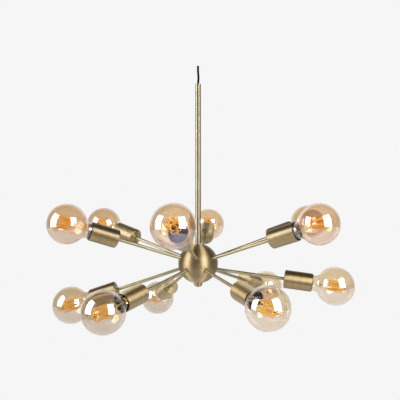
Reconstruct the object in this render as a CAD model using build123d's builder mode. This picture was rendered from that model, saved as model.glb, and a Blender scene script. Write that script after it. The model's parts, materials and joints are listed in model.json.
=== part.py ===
from build123d import *
from math import atan2, cos, degrees, radians, sin, sqrt, tan
import os

# A sputnik chandelier: a ball hub under a stem, with two staggered tiers of tube arms, each
# carrying a cup, a lampholder and a globe bulb. Millimetres. Z is up, the origin is the centre of
# the stem's top end, and -Y is the side that faces the viewer.

# Fits
fit_gap = 0.05  # radial, between a piece and the hole that it is fitted into
loose_gap = 0.3  # radial, between pieces that only pass each other

# Stem, its cord grip and the free flex above it
stem_radius = 7.0
stem_wall = 1.2
stem_exposed = 405.7  # from the hub's seat to the top end
stem_plug_height = 12.0  # tapped plug brazed into the bottom end
grip_height = 14.0
grip_mouth = 0.8
flex_radius = 2.7
flex_depth = 6.0  # how far the free flex reaches down into the grip
# The free flex rises with a slight S and ends cut square.
flex_route = [(0, 0, -flex_depth), (0, 0, 4), (1.2, 0.2, 17), (-0.5, 0.4, 33), (-0.3, 0.2, 46.7)]

# Hub
hub_radius = 50.0
hub_wall = 3.0
stem_seat_radius = 8.4  # flat spot on top of the ball
finial_seat_radius = 11.6  # flat spot under the ball
lip_height = 4.0  # the upper shell's lip inside the lower shell
lip_wall = 1.4
lip_gap = 0.1
boss_radius = 8.5  # pads inside the ball, one behind each arm hole
boss_height = 3.0
countersink_radius = 6.0
countersink_depth = 1.9
rod_radius = 5.0
rod_bore_radius = 3.4
rod_top_reach = 10.0  # how far the tie rod screws into the stem's plug
rod_end_reach = 6.0  # how far it screws into the finial
rod_window_radius = 2.9
rod_window_height = 19.5  # above the hub's centre
ring_radius = 16.0
ring_height = 30.0
ring_pocket = 5.0  # depth of the blind entries for the leads
finial_radius = 10.8
finial_collar = 2.6
finial_dome = 8.2

# Arms: drilled at even steps, each tube standing a little off square as it was screwed home
arms_per_tier = 6
first_upper_arm = 23.9  # degrees round from +X
tier_tilt = 17.0  # degrees above or below level
# (turn, lift) of each tube away from its drilled direction, in degrees
upper_sets = [(0.0, 0.3), (0.9, -0.8), (0.1, -0.8), (-2.0, -0.2), (-2.8, -0.9), (1.5, -0.2)]
lower_sets = [(-0.6, 2.7), (-2.0, -4.3), (0.8, -1.6), (-0.2, 3.3), (1.5, 6.0), (-0.2, 9.5)]
arm_radius = 4.0
arm_bore_radius = 2.6
arm_tail = 13.5  # inside the hub
arm_exposed = 168.5
arm_end_chamfer = 0.5
lead_radius = 1.9
lead_gap = 0.3
nut_across_flats = 13.0
nut_height = 5.0

# Cup and lampholder
cup_radius = 22.5
cup_length = 68.0
cup_wall = 1.2
cup_floor = 1.6
cup_back_fillet = 3.5
cup_lip_fillet = 0.5
holder_proud = 1.5  # the black rim stands this far out of the cup's mouth
holder_wall = 1.9
holder_rim_chamfer = 0.4
holder_floor = 6.0
holder_boss_radius = 7.5
holder_boss_length = 8.0
holder_boss_pocket = 7.0  # how deep the arm screws in
holder_cone_clear = 2.0  # from the end of the glass neck down to the holder's cone
holder_web = 3.2
sleeve_wall = 1.6
lead_entry = 3.0
screw_shell_wall = 0.6
screw_shell_length = 20.0
screw_shell_drop = 2.5  # from the cap's top edge down to the shell's
contact_chamber_radius = 11.0
contact_radius = 4.0
contact_height = 1.0

# Bulb, along its own axis from the globe's centre
bulb_radius = 47.5
bulb_stand_off = 58.0  # from the cup's mouth to the globe's centre
glass_wall = 1.0
glass_gap = 0.1  # radial, glass inside the cap
neck_radius = 19.0
neck_fillet = 15.0
neck_end = -58.5
neck_gap = 0.8  # radial, neck inside the holder's rim
cap_top = -66.0
cap_radius = 13.2
cap_wall = 0.5
cap_length = 18.0
cap_gap = 0.25  # radial, cap in its screw shell
cap_overlap = 5.0  # glass inside the cap
cap_floor_radius = 9.5
cap_chamfer = 1.2
insulator_radius = 11.5
insulator_height = 5.5
button_radius = 4.8
button_height = 2.0
mount_radius = 4.2  # glass mount that carries the filament
mount_flare_height = 9.0
mount_tip = 31.0
mount_edge = 0.6
ferrule_wall = 0.6
ferrule_height = 3.0
collar_low = -30.0
strip_count = 6
strip_radius = 1.1
strip_ring_low = 12.0  # radius of the circle through the strips' ends, next to the cap
strip_ring_high = 13.2
strip_low = -18.0
strip_high = 21.0
strip_twist = 30.0  # degrees between a strip's two ends
wire_radius = 0.45

# Sizes that follow from those above
hub_inner_radius = hub_radius - hub_wall
stem_seat = sqrt(hub_radius**2 - stem_seat_radius**2)
finial_seat = sqrt(hub_radius**2 - finial_seat_radius**2)
hub_height = -stem_exposed - stem_seat
hub_centre = (0, 0, hub_height)
hub_plane = Plane(origin=hub_centre)
finial_top = hub_height - finial_seat
lip_radius = hub_inner_radius + lip_wall
nut_seat = hub_wall + boss_height
thread_hole_radius = arm_radius + fit_gap
cup_inner_radius = cup_radius - cup_wall
bulb_centre = arm_exposed + cup_length + bulb_stand_off
glass_throat_radius = cap_radius - cap_wall - glass_gap
glass_end = cap_top - cap_overlap
mount_flare_radius = glass_throat_radius - glass_wall - fit_gap
cap_end = cap_top - cap_length
insulator_end = cap_end - insulator_height
contact_tip = insulator_end - button_height
holder_radius = cup_inner_radius - loose_gap
holder_mouth_radius = neck_radius + neck_gap
holder_rim = holder_proud - bulb_stand_off
holder_floor_top = contact_tip - contact_height
holder_back = holder_floor_top - holder_floor
boss_end = holder_back - holder_boss_length
boss_pocket_floor = boss_end + holder_boss_pocket
arm_end = bulb_centre + boss_pocket_floor
screw_shell_inner = cap_radius + cap_gap
screw_shell_outer = screw_shell_inner + screw_shell_wall
screw_shell_top = cap_top - screw_shell_drop
screw_shell_end = screw_shell_top - screw_shell_length
sleeve_radius = screw_shell_outer + fit_gap + sleeve_wall
lead_tail = hub_radius - ring_radius / cos(radians(tier_tilt)) + ring_pocket

os.makedirs("parts", exist_ok=True)


def direction(turn, lift):
    """Unit vector at an angle round from +X and an angle above level."""
    level = cos(radians(lift))
    return Vector(level * cos(radians(turn)), level * sin(radians(turn)), sin(radians(lift)))


def tier_planes(first, tilt, sets):
    """Planes at the ball's surface whose Z runs out along each arm of a tier."""
    planes = []
    for i, (set_turn, set_lift) in enumerate(sets):
        turn = first + i * 360 / arms_per_tier
        along = direction(turn + set_turn, tilt + set_lift)
        root = hub_plane.origin + direction(turn, tilt) * hub_radius
        planes.append(Plane(origin=root, x_dir=Vector(0, 0, 1).cross(along), z_dir=along))
    return planes


def save(piece, name):
    piece.label = name
    export_step(piece, f"parts/{name}.step")


def save_copies(piece, name, shift=0.0):
    """One node for each arm, the piece moved out along the arm by the shift."""
    for number, plane in enumerate(arm_planes, start=1):
        save(plane.offset(shift).location * piece, f"{name}_{number:02d}")


def on_every_arm(piece, shift=0.0):
    """Copies of the piece for one shared node, moved out along each arm by the shift."""
    return [plane.offset(shift).location * piece for plane in arm_planes]


half_step = 180 / arms_per_tier
upper_planes = tier_planes(first_upper_arm, tier_tilt, upper_sets)
lower_planes = tier_planes(first_upper_arm + half_step, -tier_tilt, lower_sets)
arm_planes = upper_planes + lower_planes

# Stem: a tube with a tapped plug brazed into its bottom end
with BuildPart() as stem_tube:
    with BuildSketch(Plane.XY.offset(-stem_exposed)):
        Circle(stem_radius)
    extrude(amount=stem_exposed)
    with BuildSketch(Plane.XY.offset(-stem_exposed + stem_plug_height)):
        Circle(stem_radius - stem_wall)
    extrude(amount=stem_exposed, mode=Mode.SUBTRACT)
    with BuildSketch(Plane.XY.offset(-stem_exposed)):
        Circle(rod_radius + fit_gap)
    extrude(amount=stem_plug_height, mode=Mode.SUBTRACT)
save(stem_tube.part, "stem_tube")

# Cord grip: a moulded bush flush with the stem's top end, its mouth eased for the flex
with BuildPart() as stem_cord_grip:
    with BuildSketch(Plane.XY.offset(-grip_height)):
        Circle(stem_radius - stem_wall - fit_gap)
        Circle(flex_radius + fit_gap, mode=Mode.SUBTRACT)
    extrude(amount=grip_height)
    mouth_edges = stem_cord_grip.faces().sort_by(Axis.Z)[-1].edges()
    chamfer(mouth_edges.sort_by(SortBy.RADIUS)[0], grip_mouth)
save(stem_cord_grip.part, "stem_cord_grip")

# Free flex: straight runs joined by tangent arcs
flex_points = [Vector(*point) for point in flex_route]
flex_bends = []
for before, corner, after in zip(flex_points, flex_points[1:], flex_points[2:]):
    shorter = min((corner - before).length, (after - corner).length)
    half_turn = radians((corner - before).get_angle(after - corner) / 2)
    flex_bends.append(0.45 * shorter / tan(half_turn))
with BuildPart() as supply_flex:
    with BuildLine() as flex_path:
        FilletPolyline(*flex_points, radius=flex_bends)
    with BuildSketch(Plane(origin=flex_points[0], z_dir=flex_points[1] - flex_points[0])):
        Circle(flex_radius)
    sweep(path=flex_path.wire())
print("flex bend radii", [round(radius) for radius in flex_bends])
print("flex length", round(flex_path.wire().length, 1))
save(supply_flex.part, "supply_flex")

# Tie rod: a threaded tube through the hub, with a window where the leads come out
with BuildPart() as tie_rod:
    with BuildSketch(hub_plane.offset(-finial_seat - rod_end_reach)):
        Circle(rod_radius)
        Circle(rod_bore_radius, mode=Mode.SUBTRACT)
    extrude(amount=finial_seat + rod_end_reach + stem_seat + rod_top_reach)
    with BuildSketch(Plane(origin=(0, 0, hub_height + rod_window_height), z_dir=(0, -1, 0))):
        Circle(rod_window_radius)
    extrude(amount=2 * rod_radius, mode=Mode.SUBTRACT)
save(tie_rod.part, "tie_rod")

# Hub cavity: the inside of the ball, with a pad left standing behind each arm hole
with BuildPart() as hub_cavity:
    with Locations(hub_centre):
        Sphere(hub_inner_radius)
    for arm in arm_planes:
        with BuildSketch(arm.offset(-nut_seat)):
            Circle(boss_radius)
        extrude(amount=nut_seat, mode=Mode.SUBTRACT)

# Arm hole: tapped through the wall and pad, and countersunk from outside
with BuildPart() as arm_hole:
    with BuildSketch(Plane.XZ):
        with BuildLine():
            Polyline(
                (0, -2 * nut_seat),
                (thread_hole_radius, -2 * nut_seat),
                (thread_hole_radius, -countersink_depth),
                (countersink_radius, 0),
                (countersink_radius, hub_wall),
                (0, hub_wall),
                close=True,
            )
        make_face()
    revolve(axis=Axis.Z)

# Upper shell: flat seat for the stem on top, and a lip that centres the lower shell
with BuildPart() as hub_upper_shell:
    with Locations(hub_centre):
        Sphere(hub_radius, arc_size1=0, arc_size2=90, align=None)
    add(hub_cavity.part, mode=Mode.SUBTRACT)
    with BuildSketch(hub_plane):
        Circle(lip_radius)
        Circle(hub_inner_radius, mode=Mode.SUBTRACT)
    extrude(amount=-lip_height)
    with BuildSketch(hub_plane.offset(stem_seat)):
        Circle(2 * stem_seat_radius)
    extrude(amount=hub_radius, mode=Mode.SUBTRACT)
    with BuildSketch(hub_plane):
        Circle(rod_radius + fit_gap)
    extrude(amount=hub_radius, mode=Mode.SUBTRACT)
    for arm in upper_planes:
        add(arm.location * arm_hole.part, mode=Mode.SUBTRACT)
save(hub_upper_shell.part, "hub_upper_shell")

# Lower shell: rebated for the lip, with a flat seat for the finial
with BuildPart() as hub_lower_shell:
    with Locations(hub_centre):
        Sphere(hub_radius, arc_size1=-90, arc_size2=0, align=None)
    add(hub_cavity.part, mode=Mode.SUBTRACT)
    with BuildSketch(hub_plane):
        Circle(lip_radius + lip_gap)
    extrude(amount=-lip_height - lip_gap, mode=Mode.SUBTRACT)
    with BuildSketch(hub_plane.offset(-finial_seat)):
        Circle(2 * finial_seat_radius)
    extrude(amount=-hub_radius, mode=Mode.SUBTRACT)
    with BuildSketch(hub_plane):
        Circle(rod_radius + fit_gap)
    extrude(amount=-hub_radius, mode=Mode.SUBTRACT)
    for arm in lower_planes:
        add(arm.location * arm_hole.part, mode=Mode.SUBTRACT)
save(hub_lower_shell.part, "hub_lower_shell")

# Finial: a domed cap nut, tapped for the tie rod's end
with BuildPart() as finial:
    with BuildSketch(Plane.XZ):
        with BuildLine():
            collar_bottom = finial_top - finial_collar
            tap_end = finial_top - rod_end_reach - loose_gap
            Polyline(
                (0, tap_end),
                (rod_radius + fit_gap, tap_end),
                (rod_radius + fit_gap, finial_top),
                (finial_radius, finial_top),
                (finial_radius, collar_bottom),
            )
            EllipticalCenterArc((0, collar_bottom), finial_radius, finial_dome, 270, arc_size=90)
            Line((0, collar_bottom - finial_dome), (0, tap_end))
        make_face()
    revolve(axis=Axis.Z)
save(finial.part, "finial")

# Terminal ring: fitted on the tie rod, with a blind entry facing each arm
with BuildPart() as terminal_ring:
    with BuildSketch(hub_plane):
        Circle(ring_radius)
        Circle(rod_radius + fit_gap, mode=Mode.SUBTRACT)
    extrude(amount=ring_height / 2, both=True)
    for arm in arm_planes:
        with BuildSketch(arm.offset(-lead_tail)):
            Circle(lead_radius + lead_gap)
        extrude(amount=2 * ring_pocket, mode=Mode.SUBTRACT)
save(terminal_ring.part, "terminal_ring")

# Arm: a tube, threaded at both ends, with eased edges
with BuildPart() as arm_tube:
    with BuildSketch(Plane.XY.offset(-arm_tail)):
        Circle(arm_radius)
        Circle(arm_bore_radius, mode=Mode.SUBTRACT)
    extrude(amount=arm_tail + arm_end)
    rims = arm_tube.edges().filter_by(GeomType.CIRCLE).group_by(SortBy.RADIUS)[-1]
    chamfer(rims, arm_end_chamfer)
save_copies(arm_tube.part, "arm")

# Lock nut: one inside the hub and one inside the cup on every arm
with BuildPart() as lock_nut:
    with BuildSketch():
        RegularPolygon(nut_across_flats / 2, side_count=6, major_radius=False)
        Circle(thread_hole_radius, mode=Mode.SUBTRACT)
    extrude(amount=nut_height)
hub_nuts = on_every_arm(lock_nut.part, -nut_seat - nut_height)
cup_nuts = on_every_arm(lock_nut.part, arm_exposed + cup_floor)
save(Compound(hub_nuts + cup_nuts), "arm_lock_nuts")

# Leads: one in each arm from the terminal ring to the lampholder, one down the stem
with BuildPart() as arm_lead:
    with BuildSketch(Plane.XY.offset(-lead_tail)):
        Circle(lead_radius)
    extrude(amount=lead_tail + arm_end + lead_entry)
with BuildPart() as stem_lead:
    with BuildSketch(hub_plane.offset(rod_window_height)):
        Circle(flex_radius)
    extrude(amount=-hub_height - rod_window_height - flex_depth)
save(Compound(on_every_arm(arm_lead.part) + [stem_lead.part]), "inner_leads")

# Cup: spun with a rounded closed back, drilled for the arm, its mouth rolled smooth
with BuildPart() as cup:
    with BuildSketch(Plane.XZ) as cup_section:
        Rectangle(cup_radius, cup_length, align=Align.MIN)
        outer_corners = cup_section.vertices().group_by(Axis.X)[-1]
        fillet(outer_corners.sort_by(Axis.Y)[0], cup_back_fillet)
        fillet(cup_section.vertices().group_by(Axis.Y)[-1].sort_by(Axis.X)[-1], cup_lip_fillet)
    revolve(axis=Axis.Z)
    with BuildSketch(Plane.XZ) as cup_hollow:
        with Locations((0, cup_floor)):
            Rectangle(cup_inner_radius, cup_length, align=Align.MIN)
        inner_corners = cup_hollow.vertices().group_by(Axis.X)[-1]
        fillet(inner_corners.sort_by(Axis.Y)[0], cup_back_fillet - cup_wall)
        Rectangle(thread_hole_radius, cup_length, align=Align.MIN)
    revolve(axis=Axis.Z, mode=Mode.SUBTRACT)
save_copies(cup.part, "cup", arm_exposed)

# Lampholder: a skirt that fills the cup, a cone that leads the bulb in, a sleeve for the screw
# shell, and a tapped boss at the back for the arm
with BuildPart() as lampholder:
    with BuildSketch(Plane.XZ):
        with BuildLine():
            Polyline(
                (holder_mouth_radius, holder_rim),
                (holder_radius - holder_rim_chamfer, holder_rim),
                (holder_radius, holder_rim - holder_rim_chamfer),
                (holder_radius, holder_back),
                (holder_radius - holder_wall, holder_back),
                (holder_radius - holder_wall, neck_end - holder_cone_clear - holder_web),
                (sleeve_radius, screw_shell_top - holder_web),
                (sleeve_radius, holder_back),
                (holder_boss_radius, holder_back),
                (holder_boss_radius, boss_end),
                (thread_hole_radius, boss_end),
                (thread_hole_radius, boss_pocket_floor),
                (lead_radius + lead_gap, boss_pocket_floor),
                (lead_radius + lead_gap, boss_pocket_floor + lead_entry),
                (0, boss_pocket_floor + lead_entry),
                (0, holder_floor_top),
                (contact_chamber_radius, holder_floor_top),
                (contact_chamber_radius, screw_shell_end),
                (screw_shell_outer + fit_gap, screw_shell_end),
                (screw_shell_outer + fit_gap, screw_shell_top),
                (holder_mouth_radius, neck_end - holder_cone_clear),
                close=True,
            )
        make_face()
    revolve(axis=Axis.Z)
save(Compound(on_every_arm(lampholder.part, bulb_centre)), "lampholders")

# Socket contacts: the screw shell that takes the cap, and the centre contact under it
with BuildPart() as screw_shell:
    with BuildSketch(Plane.XY.offset(screw_shell_end)):
        Circle(screw_shell_outer)
        Circle(screw_shell_inner, mode=Mode.SUBTRACT)
    extrude(amount=screw_shell_length)
with BuildPart() as centre_contact:
    with BuildSketch(Plane.XY.offset(holder_floor_top)):
        Circle(contact_radius)
    extrude(amount=contact_height)
shells = on_every_arm(screw_shell.part, bulb_centre)
contacts = on_every_arm(centre_contact.part, bulb_centre)
save(Compound(shells + contacts), "socket_contacts")


# Bulb glass: a globe that runs by a hollow fillet into a neck, and by a cone into the cap
def glass_outline(inset):
    """Half section of the glass from its crown to its open end, set in by the inset."""
    fillet_x = neck_radius + neck_fillet
    fillet_z = -sqrt((bulb_radius + neck_fillet) ** 2 - fillet_x**2)
    fillet_turn = degrees(atan2(-fillet_z, fillet_x))
    cone_turn = atan2(neck_radius - glass_throat_radius, neck_end - cap_top)
    drop = inset * tan(cone_turn / 2)
    globe = CenterArc((0, 0), bulb_radius - inset, 90, -90 - fillet_turn)
    CenterArc((fillet_x, fillet_z), neck_fillet + inset, 180 - fillet_turn, fillet_turn)
    tail = Polyline(
        (neck_radius - inset, fillet_z),
        (neck_radius - inset, neck_end - drop),
        (glass_throat_radius - inset, cap_top - drop),
        (glass_throat_radius - inset, glass_end),
    )
    return globe @ 0, tail @ 1


with BuildPart() as bulb_glass:
    with BuildSketch(Plane.XZ):
        with BuildLine():
            outer_crown, outer_end = glass_outline(0)
            inner_crown, inner_end = glass_outline(glass_wall)
            Line(outer_crown, inner_crown)
            Line(outer_end, inner_end)
        make_face()
    revolve(axis=Axis.Z)
save_copies(bulb_glass.part, "bulb_glass", bulb_centre)

# Bulb base: screw cap, insulator and contact button, and the mount that carries the filament
with BuildPart() as screw_cap:
    with BuildSketch(Plane.XZ):
        with BuildLine():
            Polyline(
                (cap_radius - cap_wall, cap_top),
                (cap_radius, cap_top),
                (cap_radius, cap_end + cap_chamfer),
                (cap_radius - cap_chamfer, cap_end),
                (cap_floor_radius, cap_end),
                (cap_floor_radius, cap_end + cap_wall),
                (cap_radius - cap_chamfer - cap_wall / 2, cap_end + cap_wall),
                (cap_radius - cap_wall, cap_end + cap_chamfer + cap_wall / 2),
                close=True,
            )
        make_face()
    revolve(axis=Axis.Z)
with BuildPart() as insulator:
    with BuildSketch(Plane.XY.offset(insulator_end)):
        Circle(button_radius)
    with BuildSketch(Plane.XY.offset(cap_end)):
        Circle(insulator_radius)
    loft(ruled=True)
with BuildPart() as button:
    with BuildSketch(Plane.XY.offset(contact_tip)):
        Circle(button_radius)
    extrude(amount=button_height)
    chamfer(button.faces().sort_by(Axis.Z)[0].edges(), button_height / 2)
with BuildPart() as mount:
    with BuildSketch(Plane.XZ):
        with BuildLine():
            shoulder = mount_tip - mount_radius
            Polyline(
                (0, mount_tip),
                (0, glass_end),
                (mount_flare_radius, glass_end),
                (mount_flare_radius, glass_end + mount_edge),
                (mount_radius, glass_end + mount_flare_height),
                (mount_radius, shoulder),
            )
            CenterArc((0, shoulder), mount_radius, 0, 90)
        make_face()
    revolve(axis=Axis.Z)


def ring_point(radius, turn, height):
    return Vector(radius * cos(radians(turn)), radius * sin(radians(turn)), height)


# Filament: slanted strips round the mount, hung from a ferrule and a collar by fine wires
ferrule_low = mount_tip - mount_radius - ferrule_height
wire_ring = mount_radius + fit_gap + wire_radius
bars = []
for i in range(strip_count):
    turn = i * 360 / strip_count
    low = ring_point(strip_ring_low, turn, strip_low)
    high = ring_point(strip_ring_high, turn + strip_twist, strip_high)
    bars.append((low, high, strip_radius))
    bars.append((ring_point(wire_ring, turn, collar_low + ferrule_height / 2), low, wire_radius))
    top_wire = ring_point(wire_ring, turn + strip_twist, ferrule_low + ferrule_height / 2)
    bars.append((top_wire, high, wire_radius))
with BuildPart() as filament:
    for band_low in (collar_low, ferrule_low):
        with BuildSketch(Plane.XY.offset(band_low)):
            Circle(mount_radius + fit_gap + ferrule_wall)
            Circle(mount_radius + fit_gap, mode=Mode.SUBTRACT)
        extrude(amount=ferrule_height)
    for start, end, radius in bars:
        with BuildSketch(Plane(origin=start, z_dir=end - start)):
            Circle(radius)
        extrude(amount=(end - start).length)
bulb_base = Compound([screw_cap.part, insulator.part, button.part, mount.part, filament.part])
save_copies(bulb_base, "bulb_base", bulb_centre)
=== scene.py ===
import json
import math

import bmesh
import bpy
from bpy.props import FloatProperty, FloatVectorProperty, IntProperty, PointerProperty
from mathutils import Matrix, Vector


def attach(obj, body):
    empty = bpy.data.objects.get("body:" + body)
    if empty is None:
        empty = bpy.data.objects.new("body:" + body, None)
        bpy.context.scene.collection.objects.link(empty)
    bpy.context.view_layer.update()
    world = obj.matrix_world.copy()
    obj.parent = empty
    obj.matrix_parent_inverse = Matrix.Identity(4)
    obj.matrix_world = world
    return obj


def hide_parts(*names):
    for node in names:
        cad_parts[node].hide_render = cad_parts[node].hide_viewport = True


bl_info = {
    "name": "Sputnik Chandelier",
    "version": (1, 0, 0),
    "blender": (4, 5, 0),
    "location": "3D View > Sidebar > Chandelier",
    "description": "Dresses a brass sputnik chandelier with globe filament bulbs",
    "category": "Object",
}

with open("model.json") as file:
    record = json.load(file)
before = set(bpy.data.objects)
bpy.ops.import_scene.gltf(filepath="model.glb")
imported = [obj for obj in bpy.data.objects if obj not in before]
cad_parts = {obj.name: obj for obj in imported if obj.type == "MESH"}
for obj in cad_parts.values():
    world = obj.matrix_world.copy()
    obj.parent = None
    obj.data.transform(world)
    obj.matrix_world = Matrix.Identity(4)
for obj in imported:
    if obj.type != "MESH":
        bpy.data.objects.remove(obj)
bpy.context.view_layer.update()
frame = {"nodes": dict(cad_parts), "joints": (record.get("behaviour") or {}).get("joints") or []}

MM = 0.001

# Places shared with the solids, in millimetres from the centre of the stem's top end
HUB_RADIUS = 50.0
STEM_LENGTH = 405.7
STEM_SEAT = 8.4  # radius of the flat on top of the ball that the stem stands on
HUB_HEIGHT = -STEM_LENGTH - math.sqrt(HUB_RADIUS**2 - STEM_SEAT**2)
TIERS = ((23.9, 17.0), (53.9, -17.0))  # first arm's turn, and tilt
ARMS_PER_TIER = 6
BULB_CENTRE = 294.5  # from the ball's surface along an arm
FLEX_ROUTE = ((0, 0, -6), (0, 0, 4), (1.2, 0.2, 17), (-0.5, 0.4, 33), (-0.3, 0.2, 46.7))
FLEX_DIAMETER = 5.4

# Places along a bulb's own axis, in millimetres from the globe's centre, and one radius
CUP_MOUTH = -58.0
HOLDER_PROUD = 1.5  # how far the lampholder's rim stands out of the cup
NECK_END = -58.5
CAP_TOP = -66.0
CAP_END = -84.0
THROAT_RADIUS = 12.6  # of the glass where it goes into the cap
GLASS_END = -71.0

# Wires inside a bulb, in millimetres: their radii, and where they start and bend
FEED_WIRE = 0.35
END_PIN = 0.4
LEG_WIRE = 0.9
HOOK_WIRE = 1.2
FOOT_RADIUS = 2.6
FOOT_HEIGHT = -38.0
ELBOW_SHARE = 0.8  # of the low ring's radius
ELBOW_HEIGHT = -33.0
HEAD_RADIUS = 3.2
HEAD_HEIGHT = 25.0
KNEE_SHARE = 0.62  # of the high ring's radius
KNEE_HEIGHT = 24.5

# Grain of the finishes, in millimetres
TURNED_LINES = 2.5  # apart, where the real 0.1 mm would not show
BROWN_CLOUDS = 30.0
GLASS_WAVES = 25.0

# The studio, in metres: the softboxes are placed from the hub
CAMERA_PLACE = (4.8 * MM, -1601.8 * MM, -348.2 * MM)
CAMERA_TILT = 1.9  # degrees up
SOFTBOX_WIDTH = 0.95
SOFTBOX_HEIGHT = 1.4
SOFTBOXES = (("softbox_left", (-1.42, -0.56, 0.46)), ("softbox_right", (0.97, -1.16, 0.46)))
FLOOR_RADIUS = 6000.0  # in millimetres, as lathe takes it
FLOOR_HEIGHT = -1300.0
PAPER_FRONT = (-0.85, -0.5)  # where the paper's mirror image fades in
PAPER_MIRRORED = 0.75  # how bright the paper is in mirrors
BACKDROP_EDGE = (0.5, 0.8)  # where the backdrop's mirror image fades in
STUDIO_DIM = 0.08


def srgb(code):
    """An sRGB hex colour as linear red, green and blue."""
    parts = [int(code[i : i + 2], 16) / 255 for i in (0, 2, 4)]
    return tuple(c / 12.92 if c <= 0.04045 else ((c + 0.055) / 1.055) ** 2.4 for c in parts)


def arm_matrices():
    """Matrices whose Z runs out along each arm from the ball's surface, in metres."""
    matrices = []
    joints = {joint["name"]: joint for joint in frame["joints"]}
    for tier, (first, tilt) in enumerate(TIERS):
        for i in range(ARMS_PER_TIER):
            number = tier * ARMS_PER_TIER + i + 1
            along = Vector(joints[f"bulb_{number:02d}_out"]["axis"]).normalized()
            turn, lift = math.radians(first + i * 360 / ARMS_PER_TIER), math.radians(tilt)
            flat = math.cos(lift)
            drilled = Vector((flat * math.cos(turn), flat * math.sin(turn), math.sin(lift)))
            root = (Vector((0, 0, HUB_HEIGHT)) + drilled * HUB_RADIUS) * MM
            across = Vector((0, 0, 1)).cross(along).normalized()
            turned = Matrix((across, along.cross(across), along)).transposed().to_4x4()
            matrices.append((f"{number:02d}", Matrix.Translation(root) @ turned))
    return matrices


ARMS = arm_matrices()
BULBS = [(number, root @ Matrix.Translation((0, 0, BULB_CENTRE * MM))) for number, root in ARMS]


# ---------------------------------------------------------------- properties


def length(name, description, value):
    """A length property, with its default in millimetres."""
    return FloatProperty(name=name, description=description, default=value * MM, unit="LENGTH")


def colour(name, description, code):
    """A colour property, with its default as an sRGB hex code."""
    return FloatVectorProperty(
        name=name, description=description, subtype="COLOR", default=srgb(code), size=3
    )


class BulbSizes(bpy.types.PropertyGroup):
    globe_radius: length("Globe radius", "Outside radius of the globe", 47.5)
    glass_wall: length("Glass wall", "Thickness of the blown glass", 0.9)
    neck_radius: length("Neck radius", "Outside radius of the neck", 19.0)
    neck_fillet: length("Neck fillet", "Hollow radius from the globe to the neck", 15.0)
    thread_pitch: length("Thread pitch", "Pitch of the rolled screw cap", 3.62)
    thread_depth: length("Thread depth", "Depth of the rolled thread in the cap", 0.36)
    shell_depth: length("Shell depth", "Depth of the rolled thread in the screw shell", 0.25)
    strips: IntProperty(name="Strips", description="Number of filament strips", default=6, min=2)
    strip_radius: length("Strip radius", "Radius of a coated filament strip", 2.1)
    strip_low_ring: length("Low ring", "Radius of the strips' circle next to the cap", 12.0)
    strip_high_ring: length("High ring", "Radius of the strips' circle at the far end", 13.2)
    strip_low: length("Low end", "Height of the strips' end next to the cap", -18.0)
    strip_high: length("High end", "Height of the strips' far end", 21.0)
    strip_twist: FloatProperty(
        name="Twist", description="Turn between a strip's two ends", default=math.radians(30),
        subtype="ANGLE",
    )


class FinishColours(bpy.types.PropertyGroup):
    brass_light: colour("Relieved brass", "Brass where the brown was brushed back", "C5AF83")
    brass_dark: colour("Browned brass", "Brass where the brown was left", "A28E65")
    tube_light: colour(
        "Relieved tube", "Drawn brass tube where the brown was brushed back", "C2B690"
    )
    tube_dark: colour("Browned tube", "Drawn brass tube where the brown was left", "9E9272")
    amber: colour("Amber film", "Tint of the upper globes' amber film", "F1E0CA")
    # The three tints below are copies of the amber film, made lighter or darker by where the globes
    # hang: painted light and shade
    amber_painted_lit: colour("Amber film, painted lit", "Film tint of the front upper globes, lightened as painted light", "F9E9D6")
    amber_painted_paler: colour("Amber film, painted paler", "Film tint of the right lower globes, paled as painted light", "F8EEDF")
    amber_painted_shaded: colour("Amber film, painted shaded", "Film tint of the left lower globes, darkened as painted shade", "EBE0CC")
    phosphor: colour("Phosphor", "Coating of the filament strips", "CF9C28")
    bakelite: colour("Bakelite", "Black moulding of the lampholders", "0A0706")


class StudioSettings(bpy.types.PropertyGroup):
    background: colour("Background", "Colour of the backdrop and floor", "F6F6F6")
    lamp_power: FloatProperty(
        name="Lamp power", description="Power of each softbox", default=29.0, unit="POWER"
    )
    lens: FloatProperty(
        name="Lens", description="Focal length on a 36 mm wide sensor", default=57.0
    )


# ---------------------------------------------------------------- nodes and meshes


def add(tree, kind, sockets=None, **settings):
    """Adds a node, with its settings, and with its inputs set to values or linked to outputs."""
    node = tree.nodes.new(kind)
    for name, value in settings.items():
        setattr(node, name, value)
    for key, value in (sockets or {}).items():
        if isinstance(value, bpy.types.NodeSocket):
            tree.links.new(value, node.inputs[key])
        else:
            node.inputs[key].default_value = value
    return node


def maths(tree, operation, *values):
    """The result of a maths node."""
    return add(tree, "ShaderNodeMath", dict(enumerate(values)), operation=operation).outputs[0]


def new_material(name):
    """An empty node material with its output node."""
    material = bpy.data.materials.new(name)
    material.use_nodes = True
    tree = material.node_tree
    tree.nodes.clear()
    return material, tree, add(tree, "ShaderNodeOutputMaterial")


def rgba(rgb):
    """A colour with full alpha."""
    return (rgb[0], rgb[1], rgb[2], 1.0)


def sight(tree):
    """Two masks of a ray: seen by the camera or straight through glass, and seen in a mirror."""
    path = add(tree, "ShaderNodeLightPath")
    bounced = maths(tree, "GREATER_THAN", path.outputs["Glossy Depth"], 0.5)
    inside = path.outputs["Is Transmission Ray"]
    through = maths(tree, "SUBTRACT", inside, bounced)
    direct = maths(tree, "MAXIMUM", path.outputs["Is Camera Ray"], through)
    ray = maths(tree, "MAXIMUM", inside, path.outputs["Is Glossy Ray"])
    return direct, maths(tree, "MULTIPLY", ray, bounced)


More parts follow.
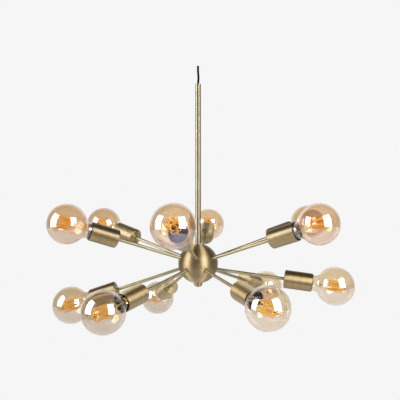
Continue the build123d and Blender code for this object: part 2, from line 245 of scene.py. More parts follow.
def lathe(profile, steps, closed=True):
    """A turned mesh from (radius, height) points in millimetres, with poles on the axis."""
    mesh = bpy.data.meshes.new("turned")
    bm = bmesh.new()
    rings = []
    for radius, height in profile:
        if radius < 1e-6:
            rings.append([bm.verts.new((0, 0, height * MM))])
            continue
        ring = []
        for i in range(steps):
            turn = 2 * math.pi * i / steps
            x, y = radius * MM * math.cos(turn), radius * MM * math.sin(turn)
            ring.append(bm.verts.new((x, y, height * MM)))
        rings.append(ring)
    pairs = list(zip(rings, rings[1:]))
    if closed:
        pairs.append((rings[-1], rings[0]))
    for low, high in pairs:
        for i in range(steps):
            j = (i + 1) % steps
            corners = [low[i % len(low)], low[j % len(low)]]
            corners += [high[j % len(high)], high[i % len(high)]]
            corners = list(dict.fromkeys(corners))  # a pole comes up twice
            if len(corners) > 2:
                bm.faces.new(corners)
    bmesh.ops.recalc_face_normals(bm, faces=bm.faces)
    bm.to_mesh(mesh)
    bm.free()
    return mesh


def smooth(mesh, angle=35):
    """Smooth shading with edges sharper than the angle kept crisp."""
    mesh.polygons.foreach_set("use_smooth", [True] * len(mesh.polygons))
    mesh.set_sharp_from_angle(angle=math.radians(angle))


def arc(centre, radius, start, end, count):
    """Points of an arc in (radius, height), angles in degrees."""
    points = []
    for i in range(count + 1):
        turn = math.radians(start + (end - start) * i / count)
        points.append((centre[0] + radius * math.cos(turn), centre[1] + radius * math.sin(turn)))
    return points


def joined(meshes, places=(Matrix.Identity(4),)):
    """One mesh from several, repeated at every place."""
    bm = bmesh.new()
    for place in places:
        for mesh in meshes:
            copy = mesh.copy()
            copy.transform(place)
            bm.from_mesh(copy)
            bpy.data.meshes.remove(copy)
    out = bpy.data.meshes.new("joined")
    bm.to_mesh(out)
    bm.free()
    return out


def polar(radius, turn, height):
    """A point by its radius, turn and height."""
    return Vector((radius * math.cos(turn), radius * math.sin(turn), height))


def rod_mesh(start, end, radius, steps=8):
    """A thin round wire between two points, in millimetres."""
    start, span = Vector(start), Vector(end) - Vector(start)
    profile = [(0, 0), (radius, 0), (radius, span.length), (0, span.length)]
    mesh = lathe(profile, steps, closed=False)
    turn = span.to_track_quat("Z", "Y").to_matrix().to_4x4()
    mesh.transform(Matrix.Translation(start * MM) @ turn)
    return mesh


def piece(name, mesh, material, body, matrix=None, replaces=()):
    """Makes a finished piece: its place goes into its mesh, and it rides on its body."""
    mesh = mesh.copy()
    if matrix is not None:
        mesh.transform(matrix)
    mesh.name = name
    mesh.materials.clear()
    mesh.materials.append(material)
    obj = bpy.data.objects.new(name, mesh)
    bpy.context.scene.collection.objects.link(obj)
    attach(obj, body)
    if replaces:
        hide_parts(*replaces)


def dress(node_name, material):
    """Gives a solid of the frame its finish."""
    obj = frame["nodes"][node_name]
    for slot in obj.material_slots:
        slot.material = material


# ---------------------------------------------------------------- materials


def antique_brass(name, light, dark, matrix, satin_from=0.52, satin_to=0.6, anisotropy=0.9):
    """Antique brass: spun or turned brass, browned, brushed back on the lathe and lacquered satin.
    Fine turned lines run round the axis, so lamps draw out along it, and brown stays in the lines.
    The lacquer adds a pale shine over the brown metal."""
    material, tree, out = new_material(name)
    place = add(tree, "ShaderNodeTexCoord")
    root = matrix.to_translation()
    # Stretched round the axis, so that the noise makes lines with finer ones between
    turned = add(
        tree, "ShaderNodeMapping",
        {
            "Vector": place.outputs["Object"], "Location": root, "Rotation": matrix.to_euler(),
            "Scale": (30.0, 30.0, 1.0),
        },
        vector_type="TEXTURE",
    )
    lines = add(
        tree, "ShaderNodeTexNoise",
        {
            "Vector": turned.outputs[0], "Scale": 1 / (TURNED_LINES * MM),
            "Detail": 3.0, "Roughness": 0.7,
        },
    )
    # Brown is left in faint clouds where the brushing was lighter
    clouds = add(
        tree, "ShaderNodeTexNoise",
        {
            "Vector": place.outputs["Object"], "Scale": 1 / (BROWN_CLOUDS * MM),
            "Detail": 1.0, "Roughness": 0.5,
        },
    )
    share = maths(tree, "MULTIPLY_ADD", clouds.outputs["Fac"], 0.4, lines.outputs["Fac"])
    brown = add(tree, "ShaderNodeMapRange", {"Value": share, "From Min": 0.45, "From Max": 0.95})
    tint = add(
        tree, "ShaderNodeMix",
        {0: brown.outputs[0], 6: rgba(dark), 7: rgba(light)},
        data_type="RGBA",
    )
    satin = add(
        tree, "ShaderNodeMapRange",
        {
            "Value": lines.outputs["Fac"], "From Min": 0.3, "From Max": 0.7,
            "To Min": satin_from, "To Max": satin_to,
        },
    )
    relief = add(
        tree, "ShaderNodeBump",
        {"Height": lines.outputs["Fac"], "Strength": 0.35, "Distance": 0.03 * MM},
    )
    # Light spreads across the lines: along the axis on the side, outwards on a flat end
    axis = matrix.to_3x3().col[2]
    outward = add(
        tree, "ShaderNodeVectorMath", {0: place.outputs["Object"], 1: root}, operation="SUBTRACT"
    )
    across = add(
        tree, "ShaderNodeVectorMath", {0: outward.outputs[0], 1: (0.5, 0.5, 0.5), 2: axis},
        operation="MULTIPLY_ADD",
    )
    shader = add(
        tree, "ShaderNodeBsdfPrincipled",
        {
            "Base Color": tint.outputs[2],
            "Metallic": 1.0,
            "Roughness": satin.outputs[0],
            "Anisotropic": anisotropy,
            "Specular Tint": rgba(srgb("8A7655")),
            "Coat Weight": 0.7,
            "Coat Roughness": 0.3,
            "Normal": relief.outputs[0],
            "Tangent": across.outputs[0],
        },
    )
    tree.links.new(shader.outputs[0], out.inputs["Surface"])
    return material


def plain_finish(
    name, tint, roughness, metallic=0.0, grain=0.4, relief=0.02, spread=0.12, specular=0.5,
    glow=((0, 0, 0), 0.0),
):
    """A moulded, plated or drawn surface: its tone and gloss change a little, at the grain's
    size in millimetres."""
    material, tree, out = new_material(name)
    place = add(tree, "ShaderNodeTexCoord")
    noise = add(
        tree, "ShaderNodeTexNoise",
        {
            "Vector": place.outputs["Object"], "Scale": 1 / (grain * MM),
            "Detail": 3.0, "Roughness": 0.55,
        },
    )
    tone = add(
        tree, "ShaderNodeMapRange",
        {
            "Value": noise.outputs["Fac"], "From Min": 0.3, "From Max": 0.7,
            "To Min": 1 - spread, "To Max": 1 + spread,
        },
    )
    tinted = add(
        tree, "ShaderNodeVectorMath", {0: tint, "Scale": tone.outputs[0]}, operation="SCALE"
    )
    gloss = add(
        tree, "ShaderNodeMapRange",
        {
            "Value": noise.outputs["Fac"], "From Min": 0.3, "From Max": 0.7,
            "To Min": roughness * (1 - spread), "To Max": roughness * (1 + spread),
        },
    )
    bump = add(
        tree, "ShaderNodeBump",
        {"Height": noise.outputs["Fac"], "Strength": 0.3, "Distance": relief * MM},
    )
    shader = add(
        tree, "ShaderNodeBsdfPrincipled",
        {
            "Base Color": tinted.outputs[0],
            "Metallic": metallic,
            "Roughness": gloss.outputs[0],
            "Specular IOR Level": specular,
            # The glow is painted light: the surface shines though it is no lamp
            "Emission Color": rgba(glow[0]),
            "Emission Strength": glow[1],
            "Normal": bump.outputs[0],
        },
    )
    tree.links.new(shader.outputs[0], out.inputs["Surface"])
    return material


def blown_glass(name, tint, ior=1.5, mirror="FFFFFF", ripple=0.0):
    """Blown soda glass: clear, and lamps shine through it. An amber film of metal oxide has an
    IOR of 2.5: it mirrors the studio like a weak looking glass, and more of its blue. Ripple is
    the strength of the slow waves that the blow mould leaves."""
    material, tree, out = new_material(name)
    place = add(tree, "ShaderNodeTexCoord")
    waves = add(
        tree, "ShaderNodeTexNoise",
        {"Vector": place.outputs["Object"], "Scale": 1 / (GLASS_WAVES * MM), "Detail": 1.0},
    )
    bump = add(
        tree, "ShaderNodeBump",
        {"Height": waves.outputs["Fac"], "Strength": ripple, "Distance": 0.4 * MM},
    )
    shader = add(
        tree, "ShaderNodeBsdfPrincipled",
        {
            "Base Color": rgba(tint),
            "Roughness": 0.0,
            "IOR": ior,
            "Specular Tint": rgba(srgb(mirror)),
            "Transmission Weight": 1.0,
            "Normal": bump.outputs[0],
        },
    )
    path = add(tree, "ShaderNodeLightPath")
    # A shadow ray crosses two faces at each wall, and each takes the square root of the tint
    thin = rgba([math.sqrt(c) * 0.9 for c in tint])
    clear = add(tree, "ShaderNodeBsdfTransparent", {"Color": thin})
    mixed = add(
        tree, "ShaderNodeMixShader",
        {0: path.outputs["Is Shadow Ray"], 1: shader.outputs[0], 2: clear.outputs[0]},
    )
    tree.links.new(mixed.outputs[0], out.inputs["Surface"])
    return material


# ---------------------------------------------------------------- geometry node trees


def new_tree(name, sizes):
    """A geometry tree with a Geometry input and output, and named inputs with their defaults."""
    tree = bpy.data.node_groups.new(name, "GeometryNodeTree")
    tree.interface.new_socket("Geometry", in_out="INPUT", socket_type="NodeSocketGeometry")
    for label, (kind, default) in sizes.items():
        socket = tree.interface.new_socket(label, in_out="INPUT", socket_type=kind)
        if default is not None:
            socket.default_value = default
    tree.interface.new_socket("Geometry", in_out="OUTPUT", socket_type="NodeSocketGeometry")
    return tree, add(tree, "NodeGroupInput"), add(tree, "NodeGroupOutput")


def grown(mesh, tree, values):
    """The mesh that a tree makes from a start mesh, as plain data."""
    obj = bpy.data.objects.new("start", mesh)
    bpy.context.scene.collection.objects.link(obj)
    modifier = obj.modifiers.new("tree", "NODES")
    modifier.node_group = tree
    for item in tree.interface.items_tree:
        if item.in_out == "INPUT" and item.name in values:
            modifier[item.identifier] = values[item.name]
    bpy.context.view_layer.update()
    evaluated = obj.evaluated_get(bpy.context.evaluated_depsgraph_get())
    result = bpy.data.meshes.new_from_object(evaluated)
    obj.modifiers.remove(modifier)
    bpy.data.objects.remove(obj)
    return result


def filament_tree():
    """Strips that stand round an axis and lean from a low ring to a high ring."""
    tree, given, out = new_tree(
        "Filament strips",
        {
            "Strips": ("NodeSocketInt", 6),
            "Strip radius": ("NodeSocketFloat", 0.001),
            "Low ring": ("NodeSocketFloat", 0.012),
            "High ring": ("NodeSocketFloat", 0.013),
            "Low end": ("NodeSocketFloat", -0.018),
            "High end": ("NodeSocketFloat", 0.021),
            "Twist": ("NodeSocketFloat", 0.5),
            "Material": ("NodeSocketMaterial", None),
        },
    )
    low, far = (
        add(tree, "ShaderNodeCombineXYZ", {"X": given.outputs[ring], "Z": given.outputs[end]})
        for ring, end in (("Low ring", "Low end"), ("High ring", "High end"))
    )
    leaning = add(
        tree, "ShaderNodeVectorRotate",
        {"Vector": far.outputs[0], "Axis": (0, 0, 1), "Angle": given.outputs["Twist"]},
        rotation_type="AXIS_ANGLE",
    )
    line = add(
        tree, "GeometryNodeCurvePrimitiveLine", {"Start": low.outputs[0], "End": leaning.outputs[0]}
    )
    fine = add(tree, "GeometryNodeResampleCurve", {"Curve": line.outputs[0], "Count": 24})
    section = add(
        tree, "GeometryNodeCurvePrimitiveCircle",
        {"Resolution": 10, "Radius": given.outputs["Strip radius"]},
    )
    # The coating swells a little between its ends
    along = add(tree, "GeometryNodeSplineParameter")
    swell = add(tree, "ShaderNodeFloatCurve", {"Value": along.outputs["Factor"]})
    curve = swell.mapping.curves[0]
    curve.points[0].location = (0.0, 0.45)
    curve.points[1].location = (1.0, 0.45)
    for place, share in ((0.06, 0.95), (0.5, 1.0), (0.94, 0.95)):
        curve.points.new(place, share)
    swell.mapping.update()
    strip = add(
        tree, "GeometryNodeCurveToMesh",
        {
            "Curve": fine.outputs[0], "Profile Curve": section.outputs[0],
            "Scale": swell.outputs[0], "Fill Caps": True,
        },
    )
    posts = add(tree, "GeometryNodePoints", {"Count": given.outputs["Strips"]})
    index = add(tree, "GeometryNodeInputIndex")
    step = maths(tree, "DIVIDE", 2 * math.pi, given.outputs["Strips"])
    turn = maths(tree, "MULTIPLY", index.outputs[0], step)
    about = add(tree, "ShaderNodeCombineXYZ", {"Z": turn})
    placed = add(
        tree, "GeometryNodeInstanceOnPoints",
        {"Points": posts.outputs[0], "Instance": strip.outputs[0], "Rotation": about.outputs[0]},
    )
    real = add(tree, "GeometryNodeRealizeInstances", {"Geometry": placed.outputs[0]})
    painted = add(
        tree, "GeometryNodeSetMaterial",
        {"Geometry": real.outputs[0], "Material": given.outputs["Material"]},
    )
    tree.links.new(painted.outputs[0], out.inputs[0])
    return tree


def thread_tree():
    """Presses a rolled thread into a turned mesh: a helical wave that dies out at both ends."""
    tree, given, out = new_tree(
        "Rolled thread",
        {
            "Pitch": ("NodeSocketFloat", 0.0036),
            "Depth": ("NodeSocketFloat", 0.001),
            "Low end": ("NodeSocketFloat", -0.082),
            "High end": ("NodeSocketFloat", -0.068),
            "Material": ("NodeSocketMaterial", None),
        },
    )
    place = add(tree, "GeometryNodeInputPosition")
    parts = add(tree, "ShaderNodeSeparateXYZ", {0: place.outputs[0]})
    low, high, pitch = (given.outputs[name] for name in ("Low end", "High end", "Pitch"))
    turn = maths(tree, "ARCTAN2", parts.outputs["Y"], parts.outputs["X"])
    pitches = maths(tree, "DIVIDE", parts.outputs["Z"], pitch)
    phase = maths(tree, "MULTIPLY_ADD", pitches, 2 * math.pi, turn)
    # From no depth at a crest to the full depth at a root
    inward = maths(tree, "MULTIPLY_ADD", maths(tree, "COSINE", phase), 0.5, -0.5)
    deep = maths(tree, "MULTIPLY", inward, given.outputs["Depth"])
    # Over one pitch at either end it comes up from nothing
    rise = add(
        tree, "ShaderNodeMapRange",
        {
            "Value": parts.outputs["Z"],
            "From Min": low, "From Max": maths(tree, "ADD", low, pitch),
        },
        interpolation_type="SMOOTHSTEP",
    )
    fall = add(
        tree, "ShaderNodeMapRange",
        {
            "Value": parts.outputs["Z"],
            "From Min": maths(tree, "SUBTRACT", high, pitch), "From Max": high,
            "To Min": 1.0, "To Max": 0.0,
        },
        interpolation_type="SMOOTHSTEP",
    )
    held = maths(tree, "MULTIPLY", rise.outputs[0], fall.outputs[0])
    amount = maths(tree, "MULTIPLY", deep, held)
    flat = add(
        tree, "ShaderNodeCombineXYZ", {"X": parts.outputs["X"], "Y": parts.outputs["Y"]}
    )
    outward = add(tree, "ShaderNodeVectorMath", {0: flat.outputs[0]}, operation="NORMALIZE")
    shift = add(
        tree, "ShaderNodeVectorMath", {0: outward.outputs[0], "Scale": amount}, operation="SCALE"
    )
    moved = add(
        tree, "GeometryNodeSetPosition", {"Geometry": given.outputs[0], "Offset": shift.outputs[0]}
    )
    real = add(tree, "GeometryNodeRealizeInstances", {"Geometry": moved.outputs[0]})
    painted = add(
        tree, "GeometryNodeSetMaterial",
        {"Geometry": real.outputs[0], "Material": given.outputs["Material"]},
    )
    tree.links.new(painted.outputs[0], out.inputs[0])
    return tree


# ---------------------------------------------------------------- operators


class CHANDELIER_OT_stage(bpy.types.Operator):
    """Camera, softboxes, pale floor and background"""

    bl_idname = "chandelier.stage"
    bl_label = "Stage"

    def execute(self, context):
        scene = context.scene
        studio = scene.chandelier_studio
        scene.view_settings.view_transform = "Standard"

        camera_data = bpy.data.cameras.new("camera")
        camera_data.sensor_width = 36.0
        camera_data.lens = studio.lens
        camera_data.clip_start = 0.05
        camera = bpy.data.objects.new("camera", camera_data)
        camera.location = CAMERA_PLACE
        camera.rotation_euler = (math.radians(90 + CAMERA_TILT), 0, 0)
        scene.collection.objects.link(camera)
        scene.camera = camera

        # Two tall softboxes, in front to the left and to the right, and above. The camera
        # doesn't see them, and sees their cloth only where the far wall of a globe mirrors it
        # through the near wall.
        hub = Vector((0, 0, HUB_HEIGHT * MM))
        lit, tree, out = new_material("softbox cloth, lit")
        path = add(tree, "ShaderNodeLightPath")
        _, mirrored = sight(tree)
        inside = maths(tree, "MULTIPLY", mirrored, path.outputs["Is Transmission Ray"])
        brightness = studio.lamp_power / (math.pi * SOFTBOX_WIDTH * SOFTBOX_HEIGHT)
        shine = add(tree, "ShaderNodeEmission", {"Strength": brightness})
        clear = add(tree, "ShaderNodeBsdfTransparent")
        mixed = add(
            tree, "ShaderNodeMixShader", {0: inside, 1: clear.outputs[0], 2: shine.outputs[0]}
        )
        tree.links.new(mixed.outputs[0], out.inputs["Surface"])
        lit.cycles.emission_sampling = "NONE"
        for name, place in SOFTBOXES:
            data = bpy.data.lights.new(name, "AREA")
            data.shape = "RECTANGLE"
            data.size = SOFTBOX_WIDTH
            data.size_y = SOFTBOX_HEIGHT
            data.energy = studio.lamp_power
            lamp = bpy.data.objects.new(name, data)
            lamp.location = hub + Vector(place)
            lamp.rotation_euler = (-Vector(place)).to_track_quat("-Z", "Y").to_euler()
            lamp.visible_camera = False
            lamp.visible_transmission = False
            scene.collection.objects.link(lamp)
            cloth = bpy.data.meshes.new(f"{name}_cloth")
            x, y, behind = data.size / 2, data.size_y / 2, 0.01
            corners = [(-x, -y, behind), (x, -y, behind), (x, y, behind), (-x, y, behind)]
            cloth.from_pydata(corners, [], [(0, 1, 2, 3)])
            cloth.materials.append(lit)
            card = bpy.data.objects.new(f"{name}_cloth", cloth)
            card.location, card.rotation_euler = lamp.location, lamp.rotation_euler
            card.visible_camera = False
            scene.collection.objects.link(card)

        # Floor: pale seamless paper, well below the chandelier
        floor = lathe([(0, FLOOR_HEIGHT), (FLOOR_RADIUS, FLOOR_HEIGHT)], 48, closed=False)
        floor.name = "floor"
        paper, tree, out = new_material("seamless paper, matt")
        direct, mirrored = sight(tree)
        # In mirrors the paper is bright up to its front edge, and the studio before it is dark
        place = add(tree, "ShaderNodeTexCoord")
        spot = add(tree, "ShaderNodeSeparateXYZ", {0: place.outputs["Object"]})
        edge = add(
            tree, "ShaderNodeMapRange",
            {
                "Value": spot.outputs["Y"],
                "From Min": PAPER_FRONT[0], "From Max": PAPER_FRONT[1],
            },
        )
        share = maths(tree, "MULTIPLY", mirrored, edge.outputs[0])
        share = maths(tree, "MULTIPLY", share, PAPER_MIRRORED)
        seen = maths(tree, "MAXIMUM", direct, share)
        matt = add(tree, "ShaderNodeBsdfDiffuse", {"Color": rgba(studio.background)})
        glow = add(
            tree, "ShaderNodeEmission", {"Color": rgba(studio.background), "Strength": 1.0}
        )
        mixed = add(
            tree, "ShaderNodeMixShader", {0: seen, 1: matt.outputs[0], 2: glow.outputs[0]}
        )
        tree.links.new(mixed.outputs[0], out.inputs["Surface"])
        floor.materials.append(paper)
        ground = bpy.data.objects.new("floor", floor)
        scene.collection.objects.link(ground)

        world = bpy.data.worlds.new("studio")
        world.use_nodes = True
        scene.world = world
        tree = world.node_tree
        tree.nodes.clear()
        out = add(tree, "ShaderNodeOutputWorld")
        direct, mirrored = sight(tree)
        # The lit backdrop stands behind, and the studio's other sides are dim
        way = add(tree, "ShaderNodeTexCoord")
        parts = add(tree, "ShaderNodeSeparateXYZ", {0: way.outputs["Generated"]})
        back = add(
            tree, "ShaderNodeMapRange",
            {
                "Value": parts.outputs["Y"],
                "From Min": BACKDROP_EDGE[0], "From Max": BACKDROP_EDGE[1],
            },
        )
        share = maths(tree, "MULTIPLY", mirrored, back.outputs[0])
        lit = maths(tree, "MAXIMUM", direct, share)
        dim = add(
            tree, "ShaderNodeBackground", {"Color": rgba(srgb("FFF8F0")), "Strength": STUDIO_DIM}
        )
        pale = add(
            tree, "ShaderNodeBackground", {"Color": rgba(studio.background), "Strength": 1.0}
        )
        mixed = add(
            tree, "ShaderNodeMixShader", {0: lit, 1: dim.outputs[0], 2: pale.outputs[0]}
        )
        tree.links.new(mixed.outputs[0], out.inputs["Surface"])
        return {"FINISHED"}


class CHANDELIER_OT_flex(bpy.types.Operator):
    """Supply flex above the stem"""

    bl_idname = "chandelier.flex"
    bl_label = "Supply flex"

    def execute(self, context):
        curve = bpy.data.curves.new("supply_flex_cord", "CURVE")
        curve.dimensions = "3D"
        spline = curve.splines.new("NURBS")
        spline.points.add(len(FLEX_ROUTE) - 1)
        for point, place in zip(spline.points, FLEX_ROUTE):
            point.co = (place[0] * MM, place[1] * MM, place[2] * MM, 1.0)
        spline.order_u = 3
        spline.use_endpoint_u = True
        spline.resolution_u = 12
        curve.bevel_depth = FLEX_DIAMETER / 2 * MM
        curve.bevel_resolution = 6
        curve.use_fill_caps = True
        # Round flexible cord in soft black PVC: its matt skin stays dark between the lamps
        flex = plain_finish(
            "PVC flex, extruded black", srgb("0A0807"), 0.8, grain=1.2, relief=0.01, specular=0.08
        )
        curve.materials.append(flex)
        cord = bpy.data.objects.new("supply_flex_cord", curve)
        context.scene.collection.objects.link(cord)
        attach(cord, "frame")
        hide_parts("supply_flex")
        return {"FINISHED"}


class CHANDELIER_OT_brass(bpy.types.Operator):
    """Antique brass on the stem, hub, finial, arms and cups"""

    bl_idname = "chandelier.brass"
    bl_label = "Brass"

    def execute(self, context):
        colours = context.scene.chandelier_colours
        upright = Matrix.Translation((0, 0, HUB_HEIGHT * MM))
        sheet = (colours.brass_light, colours.brass_dark)
        tube = (colours.tube_light, colours.tube_dark)
        spun = antique_brass("antique brass, spun upright", *sheet, upright)
        for node_name in ("hub_upper_shell", "hub_lower_shell", "finial"):
            dress(node_name, spun)
        # Drawn tube is paler and smoother than spun sheet, so its shine is narrower
        stem = antique_brass("antique brass, stem tube", *tube, upright, 0.42, 0.5, 1.0)
        dress("stem_tube", stem)
        for number, root in ARMS:
            name = f"antique brass, tube {number}"
            dress(f"arm_{number}", antique_brass(name, *tube, root, 0.28, 0.34, 1.0))
            name = f"antique brass, cup {number}"
            dress(f"cup_{number}", antique_brass(name, *sheet, root, 0.48, 0.56))
        return {"FINISHED"}


class CHANDELIER_OT_fittings(bpy.types.Operator):
    """Finishes of the fittings inside: grip, tie rod, terminal ring, nuts and leads"""

    bl_idname = "chandelier.fittings"
    bl_label = "Inner fittings"

    def execute(self, context):
        # Zinc plate: pale, slightly blue and cloudy
        zinc = plain_finish(
            "steel, bright zinc plated", srgb("B9BCC0"), 0.3, metallic=1.0, grain=3.0
        )
        # Moulded nylon: dark and dull
        nylon = plain_finish("nylon, moulded black", srgb("141312"), 0.5, grain=0.6, relief=0.03)
        lead = plain_finish("PVC, extruded black", srgb("1A1714"), 0.4, grain=1.0)
        for node_name, finish in (
            ("tie_rod", zinc),
            ("arm_lock_nuts", zinc),
            ("stem_cord_grip", nylon),
            ("terminal_ring", nylon),
            ("inner_leads", lead),
        ):
            dress(node_name, finish)
        return {"FINISHED"}


class CHANDELIER_OT_sockets(bpy.types.Operator):
    """Lampholders with their screw shells and centre contacts"""

    bl_idname = "chandelier.sockets"
    bl_label = "Lampholders"

    def execute(self, context):
        colours = context.scene.chandelier_colours
        sizes = context.scene.chandelier_bulb
        # Phenolic moulding: black, with a wet-looking skin from the polished mould
        bakelite = plain_finish(
            "phenolic, moulded black", tuple(colours.bakelite), 0.2, grain=2.0, relief=0.01
        )
        rim = CUP_MOUTH + HOLDER_PROUD
        body = (
            arc((20.5, rim - 0.5), 0.5, 0, 90, 5)
            + arc((20.2, rim - 0.4), 0.4, 90, 180, 5)
            + [(19.8, -60.5), (14.1, -68.5), (14.1, -88.5), (11.0, -88.5), (11.0, -92.5)]
            + [(0, -92.5), (0, -96.5), (2.2, -96.5), (2.2, -99.5), (4.05, -99.5), (4.05, -106.5)]
            + [(7.5, -106.5), (7.5, -98.5), (15.7, -98.5), (15.7, -71.7), (19.1, -63.7)]
            + [(19.1, -98.5), (21.0, -98.5)]
        )
        places = [at for _, at in BULBS]
        mesh = joined([lathe(body, 72)], places)
        smooth(mesh)
        piece(
            "lampholder_mouldings", mesh, bakelite, "frame",
            replaces=["lampholders"],
        )

        # Screw shells: thin brass sheet with a rolled thread
        brass = plain_finish(
            "brass sheet, rolled bright", srgb("C9A865"), 0.28, metallic=1.0, grain=1.5
        )
        rows = [(14.0, -68.5 - 20.0 * i / 60) for i in range(61)]
        inside = [(13.7, -88.5 + 20.0 * i / 60) for i in range(61)]
        shell = grown(
            lathe(rows + inside, 64),
            thread_tree(),
            {
                "Pitch": sizes.thread_pitch, "Depth": sizes.shell_depth,
                "Low end": -88.0 * MM, "High end": -69.0 * MM, "Material": brass,
            },
        )
        contact = lathe(
            [(0, -92.5), (4.0, -92.5)] + arc((3.6, -92.0), 0.4, 0, 90, 4) + [(0, -91.6)], 32
        )
        mesh = joined([shell, contact], places)
        smooth(mesh, 50)
        piece(
            "screw_shells_and_contacts", mesh, brass, "frame",
            replaces=["socket_contacts"],
        )
        return {"FINISHED"}


class CHANDELIER_OT_globes(bpy.types.Operator):
    """Blown glass globes and the glass mounts inside them"""

    bl_idname = "chandelier.globes"
    bl_label = "Globes"

    def execute(self, context):
        colours = context.scene.chandelier_colours
        sizes = context.scene.chandelier_bulb
        globe = sizes.globe_radius / MM
        neck = sizes.neck_radius / MM
        fillet = sizes.neck_fillet / MM
        wall = sizes.glass_wall / MM
        hollow_x = neck + fillet
        hollow_z = -math.sqrt((globe + fillet) ** 2 - hollow_x**2)
        hollow_turn = math.degrees(math.atan2(-hollow_z, hollow_x))

        def outline(inset):
            crown = [(0.0, globe - inset)] + arc((0, 0), globe - inset, 88, -hollow_turn, 56)
            hollow = arc((hollow_x, hollow_z), fillet + inset, 180 - hollow_turn, 180, 10)[1:]
            throat = [
                (neck - inset, NECK_END + 1.2),
                (neck - inset - 0.35, NECK_END - 0.1),
                (neck - inset - 1.2, NECK_END - 1.4),
                (THROAT_RADIUS - inset + 0.9, CAP_TOP + 1.0),
                (THROAT_RADIUS - inset + 0.2, CAP_TOP + 0.1),
                (THROAT_RADIUS - inset, CAP_TOP - 1.0),
                (THROAT_RADIUS - inset, GLASS_END),
            ]
            return crown + hollow + throat

        # Copies of the film's tint, made lighter or darker by where the globes hang, paint light
        # and shade onto the globes
        films = {}
        for name, tint, numbers in (
            ("soda glass, amber film", colours.amber, ("01", "03", "04")),
            ("soda glass, amber film, painted lit", colours.amber_painted_lit, ("02", "05", "06")),
            ("soda glass, amber film, painted paler", colours.amber_painted_paler, ("07", "11", "12")),
            ("soda glass, amber film, painted shaded", colours.amber_painted_shaded, ("08", "09", "10")),
        ):
            film = blown_glass(name, tuple(tint), ior=2.5, mirror="B8CCF8", ripple=0.15)
            films.update(dict.fromkeys(numbers, film))
        envelope = lathe(outline(0.0) + outline(wall)[::-1], 96, closed=False)
        smooth(envelope, 60)

        # Mount: a flared tube, pinched to a stalk that ends in the bead's collar
        flare = THROAT_RADIUS - wall - 0.1
        stalk = (
            [(0, GLASS_END), (flare, GLASS_END), (flare, GLASS_END + 0.8)]
            + [(9.0, GLASS_END + 3.0), (6.4, GLASS_END + 6.0), (5.0, GLASS_END + 9.0)]
            + [(4.4, GLASS_END + 13.0), (4.2, GLASS_END + 18.0), (4.2, -36.0), (3.6, -33.0)]
            + [(2.2, -29.0), (1.9, -20.0), (1.9, 18.0), (1.9, 22.3), (0, 22.3)]
        )
        mount = lathe(stalk, 40, closed=False)
        smooth(mount, 60)
        clear = blown_glass("soda glass, drawn clear", srgb("FDF8EC"))
        for number, at in BULBS:
            body = f"bulb_{number}"
            piece(
                f"globe_{number}", envelope, films[number], body, at,
                replaces=[f"bulb_glass_{number}"],
            )
            piece(f"glass_mount_{number}", mount, clear, body, at)
        return {"FINISHED"}


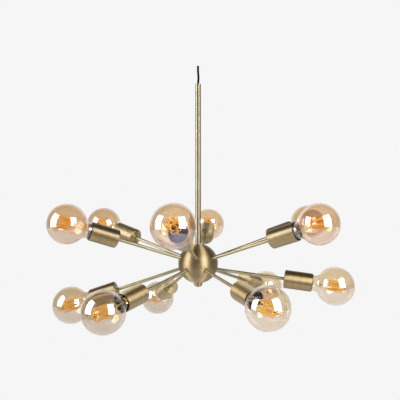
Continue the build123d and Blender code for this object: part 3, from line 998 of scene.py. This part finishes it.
class CHANDELIER_OT_filaments(bpy.types.Operator):
    """Filament strips, their hooks and feed wires"""

    bl_idname = "chandelier.filaments"
    bl_label = "Filaments"

    def execute(self, context):
        colours = context.scene.chandelier_colours
        sizes = context.scene.chandelier_bulb
        # Silicone with phosphor over a row of chips: orange when unlit, and a little cloudy. A
        # painted orange glow makes it brighter, though the bulb is unlit
        coating = plain_finish(
            "silicone with phosphor, dipped, painted glow", tuple(colours.phosphor), 0.7, grain=1.5,
            relief=0.05, spread=0.18, specular=0.15, glow=(srgb("FFB400"), 0.15),
        )
        # Copper-clad wire: golden and bright
        clad = plain_finish(
            "copper-clad wire, drawn", srgb("FBEBBE"), 0.5, metallic=1.0, grain=0.8
        )
        strips = grown(
            bpy.data.meshes.new("start"),
            filament_tree(),
            {
                "Strips": sizes.strips,
                "Strip radius": sizes.strip_radius,
                "Low ring": sizes.strip_low_ring,
                "High ring": sizes.strip_high_ring,
                "Low end": sizes.strip_low,
                "High end": sizes.strip_high,
                "Twist": sizes.strip_twist,
                "Material": coating,
            },
        )
        smooth(strips, 60)
        wires, hooks = [], []
        for i in range(sizes.strips):
            turn = 2 * math.pi * i / sizes.strips
            turned = turn + sizes.strip_twist
            low_ring, high_ring = sizes.strip_low_ring / MM, sizes.strip_high_ring / MM
            low = polar(low_ring, turn, sizes.strip_low / MM)
            high = polar(high_ring, turned, sizes.strip_high / MM)
            span = (high - low).normalized()
            foot = polar(FOOT_RADIUS, turn, FOOT_HEIGHT)
            elbow = polar(low_ring * ELBOW_SHARE, turn, ELBOW_HEIGHT)
            head = polar(HEAD_RADIUS, turned, HEAD_HEIGHT)
            knee = polar(high_ring * KNEE_SHARE, turned, KNEE_HEIGHT)
            wires += [
                rod_mesh(low - span * 2.2, low + span * 0.5, END_PIN),
                rod_mesh(high - span * 0.5, high + span * 2.2, END_PIN),
                rod_mesh(foot, elbow, LEG_WIRE),
                rod_mesh(elbow, low - span * 2.0, LEG_WIRE),
            ]
            hooks += [
                rod_mesh(head, knee, HOOK_WIRE),
                rod_mesh(knee, high + span * 2.0, HOOK_WIRE),
            ]
        # Two feed wires run down beside the mount to the cap
        for turn in (0.4, math.pi + 0.4):
            bend = polar(5.4, turn, -44.0)
            wires += [
                rod_mesh(polar(FOOT_RADIUS, turn, FOOT_HEIGHT), bend, FEED_WIRE),
                rod_mesh(bend, polar(8.0, turn, -70.0), FEED_WIRE),
            ]
        # The collar
        hooks.append(lathe([(2.2, 22.5), (5.2, 22.5), (5.2, 25.5), (2.2, 25.5)], 24))
        metal = joined(wires)
        smooth(metal, 50)
        # The hooks at the far end are gilded by the coating that runs onto them
        gilt = plain_finish(
            "copper-clad wire, coated at its end", srgb("F0C25A"), 0.5, metallic=1.0, grain=0.8
        )
        far = joined(hooks)
        smooth(far, 50)
        # A fired brown bead lies in the collar and holds the hooks
        bead = lathe(
            [(0, 25.2), (1.4, 25.0), (2.4, 24.2), (2.4, 22.6), (0, 22.6)], 28, closed=False
        )
        smooth(bead, 50)
        fired = plain_finish("glass bead, fired brown", srgb("2A1608"), 0.3, grain=1.0)
        for number, at in BULBS:
            body = f"bulb_{number}"
            piece(f"filament_strips_{number}", strips, coating, body, at)
            piece(f"filament_wires_{number}", metal, clad, body, at)
            piece(f"filament_hooks_{number}", far, gilt, body, at)
            piece(f"mount_bead_{number}", bead, fired, body, at)
        return {"FINISHED"}


class CHANDELIER_OT_caps(bpy.types.Operator):
    """Screw caps with their insulators and solder tips"""

    bl_idname = "chandelier.caps"
    bl_label = "Screw caps"

    def execute(self, context):
        sizes = context.scene.chandelier_bulb
        # Nickel-plated brass sheet: bright, slightly warm
        plated = plain_finish(
            "brass sheet, nickel plated", srgb("C9C0AE"), 0.22, metallic=1.0, grain=2.0
        )
        rows = [(13.1, CAP_TOP - 16.5 * i / 66) for i in range(67)]
        rim = [(12.2, CAP_END + 0.4), (11.4, CAP_END), (9.5, CAP_END), (9.5, CAP_END + 0.5)]
        inside = [(11.6, CAP_END + 0.9), (12.72, CAP_TOP)]
        shell = grown(
            lathe(rows + rim + inside, 72),
            thread_tree(),
            {
                "Pitch": sizes.thread_pitch, "Depth": sizes.thread_depth,
                "Low end": -83.0 * MM, "High end": -67.5 * MM, "Material": plated,
            },
        )
        smooth(shell, 50)
        # Black glass, pressed, and a tinned tip
        vitrite = plain_finish("glass, pressed black", srgb("0C0B10"), 0.15, grain=2.0, relief=0.03)
        solder = plain_finish(
            "tin solder, cast in place", srgb("C4C4C2"), 0.35, metallic=1.0, grain=1.0, relief=0.08
        )
        cone = lathe(
            [(0, CAP_END + 0.3), (9.4, CAP_END + 0.3), (10.6, CAP_END - 0.6), (10.2, CAP_END - 1.4)]
            + [(6.2, CAP_END - 4.9), (4.8, CAP_END - 5.5), (0, CAP_END - 5.5)],
            48, closed=False,
        )
        smooth(cone, 40)
        tip = lathe(
            [(0, CAP_END - 5.4), (4.7, CAP_END - 5.4), (4.7, CAP_END - 6.2)]
            + arc((3.4, CAP_END - 6.2), 1.3, 0, -90, 6) + [(0, CAP_END - 7.5)],
            40, closed=False,
        )
        smooth(tip, 40)
        for number, at in BULBS:
            body = f"bulb_{number}"
            piece(
                f"screw_cap_{number}", shell, plated, body, at,
                replaces=[f"bulb_base_{number}"],
            )
            piece(f"cap_insulator_{number}", cone, vitrite, body, at)
            piece(f"solder_tip_{number}", tip, solder, body, at)
        return {"FINISHED"}


class CHANDELIER_PT_panel(bpy.types.Panel):
    bl_idname = "CHANDELIER_PT_panel"
    bl_label = "Chandelier"
    bl_space_type = "VIEW_3D"
    bl_region_type = "UI"
    bl_category = "Chandelier"

    def draw(self, context):
        scene = context.scene
        for group in (scene.chandelier_bulb, scene.chandelier_colours, scene.chandelier_studio):
            box = self.layout.box()
            for name in group.__annotations__:
                box.prop(group, name)
        for operator in OPERATORS:
            self.layout.operator(operator.bl_idname)


OPERATORS = (
    CHANDELIER_OT_stage,
    CHANDELIER_OT_flex,
    CHANDELIER_OT_brass,
    CHANDELIER_OT_fittings,
    CHANDELIER_OT_sockets,
    CHANDELIER_OT_globes,
    CHANDELIER_OT_filaments,
    CHANDELIER_OT_caps,
)
CLASSES = (BulbSizes, FinishColours, StudioSettings) + OPERATORS + (CHANDELIER_PT_panel,)


def register():
    for cls in CLASSES:
        bpy.utils.register_class(cls)
    bpy.types.Scene.chandelier_bulb = PointerProperty(type=BulbSizes)
    bpy.types.Scene.chandelier_colours = PointerProperty(type=FinishColours)
    bpy.types.Scene.chandelier_studio = PointerProperty(type=StudioSettings)


def unregister():
    del bpy.types.Scene.chandelier_studio
    del bpy.types.Scene.chandelier_colours
    del bpy.types.Scene.chandelier_bulb
    for cls in reversed(CLASSES):
        bpy.utils.unregister_class(cls)


def main():
    register()
    bpy.ops.chandelier.stage()
    bpy.ops.chandelier.flex()
    bpy.ops.chandelier.brass()
    bpy.ops.chandelier.fittings()
    bpy.ops.chandelier.sockets()
    bpy.ops.chandelier.globes()
    bpy.ops.chandelier.filaments()
    bpy.ops.chandelier.caps()


if __name__ == "__main__":
    main()
